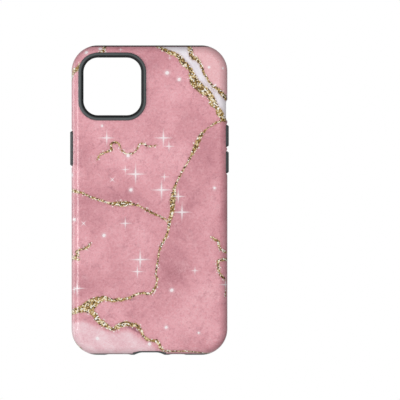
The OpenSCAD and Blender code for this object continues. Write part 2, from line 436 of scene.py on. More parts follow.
def outer_corners(mesh):
    """Which face corners lie on the outer form, and the form's direction at every corner, in flat axes."""
    normals, away = form_normals(to_flat(rows_of(mesh.vertices, "co")))
    face_n = to_flat(rows_of(mesh.polygons, "normal")) * MM
    vertex, face = corners_of(mesh)
    on = (away[vertex] < 0.03) & ((normals[vertex] * face_n[face]).sum(1) > 0.9)
    return on, normals[vertex]


def smooth(obj, degrees=32, follow_form=False):
    """Smooth shading with sharp edges. With follow_form, the outer form's own directions are used."""
    mesh = obj.data
    mesh.shade_smooth()
    mesh.set_sharp_from_angle(angle=math.radians(degrees))
    if follow_form:
        on, normals = outer_corners(mesh)
        row = to_row(normals) / MM
        row[~on] = 0
        mesh.normals_split_custom_set([tuple(n) for n in row])
    return obj


# ---- The pieces ----
def build_shell():
    obj = outer_form("printed_shell", step=PRINT_STEP, grid=True)
    keep(obj, shell_zone("zone"))
    cut(obj, inner_form("inside"))
    for notch in bottom_notches():
        cut(obj, notch)
    cut(obj, camera_hole(CAMERA_CUT_Z))
    for node, (side, y, length) in PADS.items():
        cut(obj, scoop(side, y, length, *(POWER_SCOOP if node == "power_button" else VOLUME_SCOOP)))
        slot = pill(y, MID_Z, length + 2 * PAD_GAP, PAD_W + 2 * PAD_GAP)
        cut(obj, side_prism("slot", side, slot, WALL_T))
    cut(obj, mute_hole())
    low, high, front = MUTE_Y - MUTE_L / 2, MUTE_Y + MUTE_L / 2, FRONT_Z - PAST
    front_part = [(low, front), (high, front), (high, OPENING_Z), (low, OPENING_Z)]
    cut(obj, side_prism("mute", 1, front_part, OPENING_DEPTH))
    return smooth(obj, follow_form=True)


def build_liner():
    obj = outer_form("soft_liner", step=PLAIN_STEP)
    zone = shell_zone("zone", grow=SEAM_GAP)
    cut(zone, inner_form("inside", grow=-SURFACE_GAP))
    for notch in bottom_notches(grow=-NOTCH_GAP):
        cut(zone, notch)
    cut(obj, zone)
    cut(obj, phone_room("room"))
    cut(obj, camera_hole(-PAST))
    for side, y, length in PADS.values():
        window = pill(y, MID_Z, length + 2 * FLANGE_OVER + 2 * PAD_GAP, PAD_W + 2 * PAD_GAP)
        cut(obj, side_prism("window", side, window, OPENING_DEPTH))
    cut(obj, mute_hole())
    x, w, h = PORT
    cut(obj, bottom_prism("port", pill(x, OPENING_Z, w, h), OPENING_DEPTH))
    wide = 2 * PORT_RECESS
    cut(obj, bottom_prism("port", pill(x, OPENING_Z, w + wide, h + wide), PORT_RECESS_DEPTH))
    for x, w, h in SLOTS:
        cut(obj, bottom_prism("slot", pill(x, OPENING_Z, w, h), OPENING_DEPTH))
    return smooth(obj, follow_form=True)


def outline_ring(cx, cy, w, h, r, inset):
    """A rounded outline moved in by inset, always with the same number of points."""
    return rounded(cx, cy, w - 2 * inset, h - 2 * inset, max(r - inset, 0.05))


def lofted(name, rings):
    """Closed tube through a list of (outline, z) rings. The last ring joins the first."""
    n = len(rings[0][0])
    points = [(x, y, z) for outline, z in rings for x, y in outline]
    faces = []
    for k in range(len(rings)):
        m = (k + 1) % len(rings)
        for i in range(n):
            j = (i + 1) % n
            faces.append((k * n + i, k * n + j, m * n + j, m * n + i))
    return make_mesh(name, points, faces)


def build_collar():
    """The raised ring round the camera opening, with both of its upper edges rounded."""
    top, outer_r, inner_r, foot_r = COLLAR_Z[1], 1.1, 1.0, 0.15
    turn = np.linspace(0, math.pi / 2, 11)
    section = [(0.0, COLLAR_Z[0])]
    section += [(outer_r * (1 - math.cos(a)), top - outer_r * (1 - math.sin(a))) for a in turn]
    section += [
        (COLLAR_RIM - inner_r * (1 - math.sin(a)), top - inner_r * (1 - math.cos(a))) for a in turn
    ]
    section += [(COLLAR_RIM, COLLAR_Z[0] + foot_r), (COLLAR_RIM - foot_r, COLLAR_Z[0])]
    rings = [(outline_ring(*COLLAR_MID, COLLAR_W, COLLAR_W, COLLAR_CORNER_R, i), z) for i, z in section]
    obj = lofted("camera_collar_ring", rings)
    # How far in from the outer edge each point lies; the collar's material paints its shade from this.
    store(obj.data, "inward", [(i, 0, 0) for (outline, _), (i, _) in zip(rings, section) for _ in outline])
    return smooth(obj, degrees=40)


def build_pad(node):
    """A pad with a flat face, a bevelled edge and a longer foot behind the shell."""
    side, y, length = PADS[node]
    (x0, x1), _, _ = flat_box(node)
    foot, face = (x0, x1) if side > 0 else (x1, x0)
    height = abs(face - foot)
    bevel, bevel_h, foot_t, ease = 0.75, 0.85, 0.45, 0.18
    slope = math.atan2(bevel, bevel_h)
    section = [(0.0, foot_t), (0.0, height - bevel_h - ease)]
    for t in np.linspace(0, slope, 5)[1:]:
        section.append((ease * (1 - math.cos(t)), height - bevel_h - ease + ease * math.sin(t)))
    section.append((bevel - 0.12, height - 0.14))
    for t in np.linspace(slope, math.pi / 2, 5)[1:]:
        section.append((bevel + 0.1 - ease * math.cos(t), height - ease + ease * math.sin(t)))
    rings = [(rounded(y, MID_Z, length + 2 * FLANGE_OVER, PAD_W, PAD_W / 2 - 0.01), 0.0)]
    rings.append((rings[0][0], foot_t))
    rings += [(outline_ring(y, MID_Z, length, PAD_W, PAD_W / 2 - 0.01, i), h) for i, h in section]
    n = len(rings[0][0])
    points = [(foot + side * h, u, v) for outline, h in rings for u, v in outline]
    faces = [tuple(range(n)), tuple((len(rings) - 1) * n + i for i in range(n))]
    for k in range(len(rings) - 1):
        a, b = k * n, (k + 1) * n
        faces += [(a + i, a + (i + 1) % n, b + (i + 1) % n, b + i) for i in range(n)]
    return smooth(make_mesh(node.replace("button", "pad"), points, faces), degrees=30)


shell = build_shell()
liner = build_liner()
collar = build_collar()
pads = {node: build_pad(node) for node in PADS}

# ---- The printed pattern, laid out on the shell ----
# Points are (x, height) as seen from the back, or (depth behind the back face, height) as seen from the
# left, in millimetres. A stroke's third number is its half width.
EDGE_WIDE = (
    (4.5, 82.5, 0.7), (6.3, 81.8, 0.8), (10.2, 79.9, 1.0), (13.5, 78.5, 1.1), (16.2, 76.9, 1.2),
    (18.2, 74.1, 1.4), (20.6, 71.9, 1.3), (22.3, 69.5, 1.1), (23.1, 66.6, 1.8), (24.2, 63.9, 2.3),
    (26.4, 61.4, 2.4), (28.9, 59.2, 2.3), (31.3, 57.4, 1.9), (33.2, 55.2, 1.6), (34.4, 52, 1.9),
    (36.4, 49.8, 1.2), (37.9, 47, 1.8), (39.3, 44.8, 1.5), (40.6, 42.9, 0.9),
)
EDGE_THIN = (
    (21.4, 82.5, 1.1), (22.3, 79.3, 1.2), (23.4, 76.8, 1.1), (25.6, 75.7, 1.0), (27.1, 74.1, 0.8),
    (28.1, 71.9, 0.6), (29, 69.1, 0.5), (30.3, 66.6, 0.5), (32, 63.9, 0.5), (33.9, 61.7, 0.5),
    (36.1, 60, 0.8), (38.3, 58.1, 1.1), (40, 56.1, 1.2), (41.2, 54.8, 1.2),
)
LONG_VEIN = (
    (41.2, 43.4, 0.5), (38.6, 42.6, 0.45), (35.5, 41.5, 0.45), (32.4, 39.5, 0.15), (30.6, 38, 0.15),
    (29.3, 36.9, 0.6), (27.6, 34.6, 0.9), (26.2, 32, 1.1), (25, 29, 1.1), (22, 23, 0.5),
    (17.5, 15, 0.4), (14, 8, 0.5), (13, 3, 1.2), (12.5, -0.5, 1.4), (12.3, -6, 1.0), (11, -11.5, 0.7),
    (9.3, -18.5, 0.5), (5.8, -25.5, 0.4), (4.4, -33, 0.4), (3.4, -39.5, 0.3), (4.2, -41.8, 0.4),
    (3.7, -45.6, 0.4), (2.3, -48, 0.5), (0.5, -50.3, 0.5), (-3.2, -50.1, 0.6), (-6.5, -50.6, 0.5),
    (-9.8, -52.2, 0.6), (-13.7, -53.4, 0.8), (-17, -53.7, 0.9), (-20.3, -54.1, 0.9),
    (-24.2, -52.7, 1.1), (-26.7, -53.6, 1.6), (-29.5, -54.9, 2.4), (-32.4, -56.9, 2.9),
    (-35.7, -58.4, 2.0), (-38.7, -59.1, 1.4), (-41.5, -59.8, 0.9),
)
CROSS_VEIN = (
    (-41.5, 4.5, 0.3), (-37, 4, 0.4), (-31, 1.5, 0.5), (-24, -1, 0.5), (-19, -2, 0.9), (-14.5, -2, 1.4),
    (-11, -2, 0.9), (-6, -3, 0.3), (0.5, -6.5, 0.5), (6, -9, 0.3), (11, -12.5, 0.3),
)
LOW_VEIN = (
    (-31.7, -59.3, 1.6), (-29.5, -61.7, 1.4), (-27.5, -64.7, 1.3), (-25.4, -66.2, 1.5),
    (-22.8, -68, 1.1), (-20.6, -69.3, 0.8), (-18.4, -69, 0.9), (-16.2, -67.5, 1.3),
    (-13.2, -66.6, 1.3), (-10.6, -66.8, 1.1), (-7.7, -67.2, 0.9), (-5.5, -68.7, 0.9),
    (-4, -71.3, 0.7), (-2.7, -73.8, 0.6), (0.1, -75.5, 0.6), (3.8, -75.9, 0.8), (5.2, -77.6, 0.6),
    (6, -79.8, 0.6), (8, -81.2, 0.5), (14, -81.4, 0.5), (19, -81.4, 0.35), (25.5, -81.9, 0.4),
    (32.5, -82.3, 0.2),
)
SQUIGGLE = (
    (-28, 22, 0.3), (-26.5, 24.5, 0.4), (-23, 26, 0.35), (-20.5, 27, 0.5), (-21, 29.5, 0.5),
    (-19.5, 31, 0.5), (-16.5, 30.5, 0.45), (-15, 27, 0.3), (-12.5, 25, 0.35), (-8.5, 25.5, 0.3),
    (-6.5, 28, 0.3), (-4.5, 30.5, 0.45), (-0.5, 29, 0.3), (3.5, 29.5, 0.2),
)
LEFT_BIT = (
    (-32, -23.5, 0.3), (-33.5, -25.5, 0.6), (-37, -26.5, 0.4), (-39.5, -28, 0.6), (-38.5, -29.5, 0.6),
    (-41.5, -32, 0.6),
)
RIGHT_BIT_UP = ((33.5, -20, 0.4), (37, -22.5, 0.6), (38, -26, 0.6), (41, -28, 0.7))
RIGHT_BIT_LOW = ((41.5, -32, 0.7), (37.5, -32.5, 0.6), (37, -36, 0.6), (38, -40, 0.6), (41, -43, 0.5))
RIGHT_FLECK = ((41, -47, 0.4), (41, -51.5, 0.4))
TOP_LEFT_A = ((-24, 83, 0.6), (-24.5, 81, 0.8), (-26.5, 79, 0.6))
TOP_LEFT_B = ((-37.5, 73, 0.7), (-39, 71, 0.9), (-41.5, 70, 0.6))
BACK_STROKES = (
    EDGE_WIDE, EDGE_THIN, LONG_VEIN, CROSS_VEIN, LOW_VEIN, SQUIGGLE, LEFT_BIT, RIGHT_BIT_UP, RIGHT_BIT_LOW,
    RIGHT_FLECK, TOP_LEFT_A, TOP_LEFT_B,
)
LEFT_STROKES = (
    ((0.2, 71, 0.7), (3, 68, 1.0), (6.5, 63.5, 1.2), (10.4, 58, 0.9)),
    ((0.3, 4.9, 0.4), (5, 5.6, 0.4), (10.5, 6.7, 0.3)),
    ((0.2, -31.9, 0.5), (3.2, -30.8, 0.6), (5.5, -27.6, 0.5), (9.6, -27.3, 0.4)),
    ((0.3, -60, 0.9), (4, -60.6, 1.0), (8, -61.2, 1.2), (10.5, -61.4, 1.0)),
    ((9, -62, 1.0), (8, -66, 1.3), (7.4, -70, 1.4), (6.5, -75, 1.3), (4.7, -80, 1.1)),
)
# The pale stripe runs between the two edge strokes. These two places carry it on round the side.
STRIPE_ROUND = ((60, 40), (60, 50))
FOLDS = (
    ((-13.5, -67.9, 0.3), (-10.5, -68.5, 0.8), (-7.8, -69.4, 1.2), (-5.5, -71, 0.9), (-3.6, -72.8, 0.3)),
    ((-11, -53.3, 0.5), (-9.6, -53.6, 0.7), (-6, -52.6, 0.1), (-1, -51.8, -0.1)),
    ((-27, -56, 0.1), (-23, -56.8, 0.1), (-19, -57.6, -0.2)),
    ((-41, -64.8, 0.1), (-36, -64.2, 0.1), (-31, -65.6, 0.1), (-27.5, -67.5, -0.1)),
    ((34, 37.5, 0.1), (29.5, 35.2, 0.2), (28.5, 31, 0), (27, 26, -0.2)),
)
PALE_LOW = (
    (-41.5, -64.6), (-36, -64), (-31, -65.6), (-26, -68.5), (-19.6, -70.6), (-14, -69.5), (-9, -70.5),
    (-5, -73.5), (-2, -76), (3, -78.5), (6, -82), (12, -90), (-60, -90), (-60, -64.6),
)
PALE_TOP = ((20, 84), (22.5, 77.5), (27, 69), (33.5, 60.5), (41, 54.5), (60, 51), (60, 100), (20, 100))
RIGHT_SIDE = (
    (60, 43), (37, 42), (29.5, 37), (25.5, 29.5), (17.5, 15), (13, 3), (12.5, -6), (9.5, -18.5),
    (4.5, -35), (4, -43), (1.5, -50), (-5, -90), (60, -90),
)
# (x, height, reach across, reach up, amount). Positive is dusty, negative is bright.
PATCHES = (
    (3, 77, 12, 8, 0.85), (-16, 1, 18, 6, 0.75), (-30, -1, 9, 6, 0.4), (12, -30, 9, 18, 0.55),
    (11, -44, 7, 7, 0.75), (33, 28, 12, 20, 0.3), (-34, -45, 9, 8, 0.6), (-18, -42, 10, 7, 0.3),
    (24, 12, 8, 10, 0.2), (0, 36, 10, 6, 0.25), (22, 40, 9, 9, 0.25), (-36, 18, 6, 9, 0.3),
    (28, -78, 14, 7, 0.1), (-4, -60, 9, 6, 0.35), (-7, 24, 14, 6, -0.6), (14, 22, 10, 8, -0.4),
    (-25, 38, 8, 5, -0.4), (31, -50, 9, 14, -0.7), (-36, -30, 8, 7, -0.5), (-26, -13, 12, 8, 0.45),
    (-24, -58, 8, 4, -0.5), (14, -66, 12, 7, -0.75), (18, 60, 8, 8, -0.35), (-12, -18, 12, 7, -0.25),
)
# (x, height, arm)
STARS_A = (
    (-23, 33.5, 4.6), (7.5, 33.5, 5.3), (-7.5, 14, 5.9), (6.5, 5.5, 5.9), (17.5, -6.5, 5.3),
    (-13, -12.5, 3.7), (-5, -32, 5.9), (24.5, -38, 2.8), (41, -45.5, 4.9), (-39, -47.5, 4.9),
    (-15.5, 81, 1.8),
)
STARS_B = (
    (10.5, 29, 3.4), (-13, 16.5, 2.8), (8, 12.5, 2.8), (15.5, 2, 4.3), (-6.5, -38.5, 4), (11, 76.5, 1.5),
)
CROSSED = ((-20, 11, 2.4), (-35.5, -12.5, 2.4))
DOTS = (
    (9.5, 68.5, 1.1), (16, 65, 1.0), (-25.5, 40, 0.7), (-11.5, 24, 1), (-10, 5.5, 1), (35, 6.5, 0.8),
    (32, 71.5, 0.7), (-24.5, -19, 1), (12, -48.5, 1), (9, -68.5, 0.9), (26.5, -71.5, 0.7), (-28, -74.5, 1),
    (-41, -10.5, 0.8), (0, -77.5, 1), (-26.5, 81.5, 1), (-34, 79.5, 1), (39.5, 71, 0.6),
    (35.5, 62, 0.6),
)
LEFT_DOTS = ((4, 13.5, 1.0), (1.5, -10.5, 0.9))
LEFT_STARS = ((1.8, -48, 3.5),)


def edge_lengths(run):
    """Angle round the edge's quarter ellipse, falling from the flat, and the length along it."""
    turn = np.linspace(math.pi / 2, 0, 181)
    steps = np.hypot(np.diff(run * (1 - np.cos(turn))), np.diff(HALF_T * np.sin(turn)))
    return turn, np.concatenate([[0], np.cumsum(steps)])


def on_back(x, y):
    """Point of the outer form seen at (x, y) from the back."""
    reach = np.hypot(max(abs(x) - CORE_X, 0), max(abs(y) - CORE_Y, 0))
    c = min(max(1 - (CORNER_R - reach) / BACK_RUN, 0), 1)
    return x, y, MID_Z + HALF_T * math.sqrt(1 - c * c)


def on_left(depth, y):
    """Point of the outer form seen from the left, at a depth behind the back face."""
    z = BACK_Z - depth
    run = BACK_RUN if z > MID_Z else FRONT_RUN
    inset = run * (1 - math.sqrt(max(1 - ((z - MID_Z) / HALF_T) ** 2, 0)))
    reach = CORNER_R - inset
    return -CORE_X - math.sqrt(max(reach**2 - max(abs(y) - CORE_Y, 0) ** 2, 0)), y, z


def unroll(flat):
    """Flat positions laid out on a plane: as they are on the back, and by surface length round the edge."""
    x, y, z = np.asarray(flat, float).reshape(-1, 3).T
    dx, dy = np.maximum(np.abs(x) - CORE_X, 0), np.maximum(np.abs(y) - CORE_Y, 0)
    reach = np.maximum(np.hypot(dx, dy), 1e-9)
    inset = CORNER_R - reach
    turn, back = edge_lengths(BACK_RUN)
    _, front = edge_lengths(FRONT_RUN)
    rise = np.clip((z - MID_Z) / HALF_T, -1, 1)
    run = np.where(z > MID_Z, BACK_RUN, FRONT_RUN)
    angle = np.arctan2(np.abs(rise), np.clip(1 - inset / run, 0, 1))
    on_edge = np.interp(angle, turn[::-1], back[::-1])
    past_edge = 2 * back[-1] - np.interp(angle, turn[::-1], (back[-1] - front[-1] + front)[::-1])
    travel = CORNER_R - BACK_RUN + np.where(z > MID_Z, on_edge, past_edge)
    flat_part = inset >= BACK_RUN
    u = np.where(flat_part, x, np.sign(x) * (np.minimum(np.abs(x), CORE_X) + travel * dx / reach))
    v = np.where(flat_part, y, np.sign(y) * (np.minimum(np.abs(y), CORE_Y) + travel * dy / reach))
    return np.stack([u, v], 1)


def laid(points, place=on_back):
    """Pattern points (x, y, size) as an array of (u, v, size) on the unrolled print."""
    spots = unroll([place(p[0], p[1]) for p in points])
    return np.column_stack([spots, [p[2] if len(p) > 2 else 0 for p in points]])


def curve_through(points, steps=6):
    """Smooth curve through a row of (u, v, size) points."""
    p = np.vstack([2 * points[0] - points[1], points, 2 * points[-1] - points[-2]])
    out = []
    for i in range(1, len(p) - 2):
        for t in np.arange(steps) / steps:
            out.append(
                0.5
                * (
                    2 * p[i]
                    + (p[i + 1] - p[i - 1]) * t
                    + (2 * p[i - 1] - 5 * p[i] + 4 * p[i + 1] - p[i + 2]) * t**2
                    + (3 * p[i] - p[i - 1] - 3 * p[i + 1] + p[i + 2]) * t**3
                )
            )
    return np.array(out + [p[-2]])


def to_strokes(uv, strokes):
    """For every place: side distance from the nearest stroke's middle, its half width there, and the plain
    distance."""
    best = np.full(len(uv), 1e3)
    side, half, plain = np.zeros(len(uv)), np.zeros(len(uv)), np.full(len(uv), 1e3)
    for stroke in strokes:
        for a, b in zip(stroke[:-1], stroke[1:]):
            run = b[:2] - a[:2]
            t = np.clip(((uv - a[:2]) @ run) / max(run @ run, 1e-9), 0, 1)
            off = uv - a[:2] - t[:, None] * run
            away = np.hypot(*off.T)
            width = a[2] + t * (b[2] - a[2])
            near = away - width < best
            best = np.where(near, away - width, best)
            turn = np.sign(run[0] * off[:, 1] - run[1] * off[:, 0])
            side = np.where(near, turn * away, side)
            half, plain = np.where(near, width, half), np.where(near, away, plain)
    return side, half, plain


def inside(uv, outline):
    """Distance to a closed outline, positive inside it."""
    p = np.array(outline, float)
    away = np.full(len(uv), 1e3)
    within = np.zeros(len(uv), bool)
    for a, b in zip(p, np.roll(p, -1, axis=0)):
        run = b - a
        t = np.clip(((uv - a) @ run) / max(run @ run, 1e-9), 0, 1)
        away = np.minimum(away, np.hypot(*(uv - a - t[:, None] * run).T))
        crosses = (a[1] > uv[:, 1]) != (b[1] > uv[:, 1])
        rise = run[1] if run[1] else 1e-9
        within ^= crosses & (uv[:, 0] < a[0] + (uv[:, 1] - a[1]) * run[0] / rise)
    return np.where(within, away, -away)


def to_spots(uv, spots, turn=0.0):
    """Offset from the nearest spot and the distance to it, all as parts of the spot's size."""
    out = np.full((len(uv), 3), 9.0)
    c, s = math.cos(turn), math.sin(turn)
    for u, v, size in spots:
        du, dv = (uv[:, 0] - u) / size, (uv[:, 1] - v) / size
        away = np.hypot(du, dv)
        near = away < out[:, 2]
        out[near] = np.stack([c * du - s * dv, s * du + c * dv, away], 1)[near]
    return out


def dusty(uv):
    """How much duller the ground is at every place. Negative is brighter."""
    total = np.zeros(len(uv))
    for x, y, reach_x, reach_y, amount in PATCHES:
        total += amount * np.exp(-(((uv[:, 0] - x) / reach_x) ** 2) - ((uv[:, 1] - y) / reach_y) ** 2)
    return total


def lay_print(obj):
    """Writes the pattern's layout on the shell and gives its inside and cut faces their own material."""
    mesh = obj.data
    uv = unroll(to_flat(rows_of(mesh.vertices, "co")))
    store(mesh, "print", np.column_stack([uv, np.zeros(len(uv))]))
    strokes = [curve_through(laid(s)) for s in BACK_STROKES]
    strokes += [curve_through(laid(s, on_left)) for s in LEFT_STROKES]
    store(mesh, "gold", np.column_stack(to_strokes(uv, strokes)))
    stripe = np.vstack([laid(EDGE_WIDE)[:, :2], STRIPE_ROUND, laid(EDGE_THIN)[::-1, :2]])
    regions = [inside(uv, outline) for outline in (stripe, PALE_LOW, PALE_TOP)]
    store(mesh, "regions", np.column_stack(regions))
    _, fold_half, fold_plain = to_strokes(uv, [curve_through(laid(f)) for f in FOLDS])
    past_vein = inside(uv, RIGHT_SIDE)
    beside = np.clip(past_vein / 0.8 + 0.3, 0, 1) * np.exp(-np.maximum(past_vein, 0) / 13)
    beside *= np.clip((uv[:, 1] + 50) / 14, 0, 1)
    store(mesh, "shades", np.column_stack([dusty(uv), fold_half - fold_plain, beside]))
    stars = np.vstack([laid(STARS_A), laid(LEFT_STARS, on_left)])
    store(mesh, "stars_a", to_spots(uv, stars))
    store(mesh, "stars_b", to_spots(uv, laid(STARS_B)))
    store(mesh, "stars_x", to_spots(uv, laid(CROSSED), math.pi / 4))
    store(mesh, "dots", to_spots(uv, np.vstack([laid(DOTS), laid(LEFT_DOTS, on_left)])))

    form_n, away = form_normals(to_flat(rows_of(mesh.polygons, "center")))
    facing = (form_n * to_flat(rows_of(mesh.polygons, "normal")) * MM).sum(1)
    printed = (facing > 0.35) & (away < SCOOP_DEPTH + 0.1)
    mesh.polygons.foreach_set("material_index", np.where(printed, 0, 1).astype("i"))


# ---- Materials ----
def srgb(r, g, b):
    """Colour numbers 0 to 255 as the eye sees them, to linear light."""
    linear = [((c / 255 + 0.055) / 1.055) ** 2.4 if c > 10 else c / 255 / 12.92 for c in (r, g, b)]
    return (*linear, 1.0)


class Paint:
    """A material under construction. Most methods add nodes and give their result."""

    def __init__(self, name):
        self.material = bpy.data.materials.new(name)
        self.material.use_nodes = True
        self.tree = self.material.node_tree
        self.surface = self.tree.nodes["Principled BSDF"]

    def add(self, kind, inputs=(), **settings):
        node = self.tree.nodes.new("ShaderNode" + kind)
        for key, value in settings.items():
            setattr(node, key, value)
        for key, value in dict(inputs).items():
            self.put(node.inputs[key], value)
        return node

    def put(self, socket, value):
        if isinstance(value, bpy.types.NodeSocket):
            self.tree.links.new(value, socket)
        else:
            socket.default_value = value

    def math(self, operation, *values, clamp=False):
        node = self.add("Math", enumerate(values), operation=operation, use_clamp=clamp)
        return node.outputs[0]

    def total(self, *values):
        out = values[0]
        for value in values[1:]:
            out = self.math("ADD", out, value)
        return out

    def step(self, value, low, high, out_low=0.0, out_high=1.0):
        """Smooth change from out_low to out_high as value goes from low to high."""
        inputs = {"Value": value, "From Min": low, "From Max": high, "To Min": out_low, "To Max": out_high}
        return self.add("MapRange", inputs, interpolation_type="SMOOTHSTEP").outputs["Result"]

    def mix(self, amount, a, b, blend="MIX"):
        node = self.add("Mix", {0: amount, 6: a, 7: b}, data_type="RGBA", blend_type=blend)
        return node.outputs[2]

    def noise(self, vector, size, detail=3.0, rough=0.5, warp=0.0, part="Fac"):
        """Soft noise with features of about the given size."""
        inputs = {"Vector": vector, "Scale": 1 / size, "Detail": detail}
        inputs |= {"Roughness": rough, "Distortion": warp}
        return self.add("TexNoise", inputs).outputs[part]

    def shift(self, vector, by, amount):
        """A vector moved by a colour noise, for wavy, broken shapes."""
        middle = self.add("VectorMath", {0: by, 1: (0.5, 0.5, 0.5)}, operation="SUBTRACT").outputs[0]
        scaled = self.add("VectorMath", {0: middle, "Scale": amount}, operation="SCALE").outputs[0]
        return self.add("VectorMath", {0: vector, 1: scaled}, operation="ADD").outputs[0]

    def parts(self, name):
        """A stored vector's three numbers."""
        vector = self.add("Attribute", attribute_name=name).outputs["Vector"]
        return self.add("SeparateXYZ", {0: vector}).outputs

    def ramp(self, value, stops, kind="LINEAR"):
        node = self.add("ValToRGB", {0: value})
        ramp = node.color_ramp
        ramp.interpolation = kind
        while len(ramp.elements) < len(stops):
            ramp.elements.new(0.5)
        for element, (place, colour) in zip(ramp.elements, stops):
            element.position, element.color = place, colour
        return node.outputs[0]

    def bump(self, height, distance, strength=1.0):
        inputs = {"Height": height, "Distance": distance, "Strength": strength}
        self.put(self.surface.inputs["Normal"], self.add("Bump", inputs).outputs[0])


def watercolour(p, place):
    """The pink ground: cloudy patches, smoky blots and a fine grain."""
    far = p.noise(place, 30, 3, 0.5, part="Color")
    near = p.noise(place, 5, 3, 0.6, part="Color")
    bent = p.shift(p.shift(place, far, 16.0), near, 3.0)
    dust, _, beside = p.parts("shades")
    clouds = p.noise(bent, 15, 6, 0.66)
    shaded = p.math("ADD", p.math("MULTIPLY", dust, 0.72), p.math("MULTIPLY", beside, 0.36))
    amount = p.math("ADD", p.math("MULTIPLY", clouds, 2.3), shaded)
    pink = p.ramp(
        p.math("MULTIPLY", amount, 0.4),
        (
            (0.16, srgb(244, 184, 191)),
            (0.36, srgb(236, 171, 180)),
            (0.52, srgb(225, 158, 167)),
            (0.70, srgb(208, 141, 151)),
            (0.92, srgb(187, 121, 131)),
        ),
    )
    smoke = p.step(p.noise(bent, 4.2, 6, 0.8, 0.4), 0.48, 0.74, 0.0, 0.75)
    pink = p.mix(smoke, pink, srgb(182, 118, 130))
    wisps = p.step(p.noise(bent, 6, 6, 0.78, 0.8), 0.5, 0.78, 0.0, 0.6)
    pink = p.mix(wisps, pink, srgb(240, 189, 195))
    blots = p.step(p.noise(p.shift(place, near, 2.0), 1.9, 4, 0.8), 0.5, 0.72, 0.0, 0.55)
    pink = p.mix(blots, pink, srgb(190, 126, 138))
    return pink


def grain(p, place, colour, strength):
    """The print's fine speckle, as light and dark over a colour."""
    coarse, fine = p.noise(place, 1.1, 2, 0.7), p.noise(place, 0.5, 2, 0.7)
    speck = p.math("ADD", p.math("MULTIPLY", coarse, 0.5), p.math("MULTIPLY", fine, 0.5))
    tone = p.ramp(speck, ((0.32, (0.0, 0.0, 0.0, 1)), (0.68, (1.0, 1.0, 1.0, 1))))
    return p.mix(strength, colour, tone, "SOFT_LIGHT")


def glitter(p, place):
    """Flakes of dark, gold and cream, and each flake's own chance number."""
    flakes = p.add("TexVoronoi", {"Vector": place, "Scale": 1 / 0.7, "Randomness": 1.0})
    chance = p.add("SeparateColor", {0: flakes.outputs["Color"]}).outputs
    gold = p.ramp(
        chance[0],
        (
            (0.0, srgb(74, 48, 14)),
            (0.13, srgb(116, 84, 34)),
            (0.32, srgb(158, 124, 62)),
            (0.54, srgb(200, 170, 112)),
            (0.72, srgb(242, 226, 190)),
            (0.88, srgb(255, 252, 242)),
        ),
        "CONSTANT",
    )
    return gold, chance[1]


def star(p, name, width=0.06):
    """A sparkle with four thin arms."""
    across, up, away = p.parts(name)
    across, up = p.math("ABSOLUTE", across), p.math("ABSOLUTE", up)
    arms = []
    for along, aside in ((across, up), (up, across)):
        left = p.math("SUBTRACT", 1.15, along, clamp=True)
        thin = p.math("MULTIPLY", p.math("ADD", left, 0.4), width)
        fall = p.math("POWER", p.math("DIVIDE", aside, thin), 2.0)
        sharp = p.math("EXPONENT", p.math("MULTIPLY", fall, -1.0))
        arms.append(p.math("MULTIPLY", p.math("POWER", left, 1.15), sharp))
    core = p.math("EXPONENT", p.math("MULTIPLY", p.math("POWER", away, 2.0), -70.0))
    glow = p.math("MULTIPLY", p.math("EXPONENT", p.math("MULTIPLY", p.math("POWER", away, 2.0), -9.0)), 0.22)
    shine = p.math("MAXIMUM", p.math("MAXIMUM", *arms), p.math("MAXIMUM", core, glow))
    return p.math("MULTIPLY", shine, p.step(away, 1.2, 1.05))


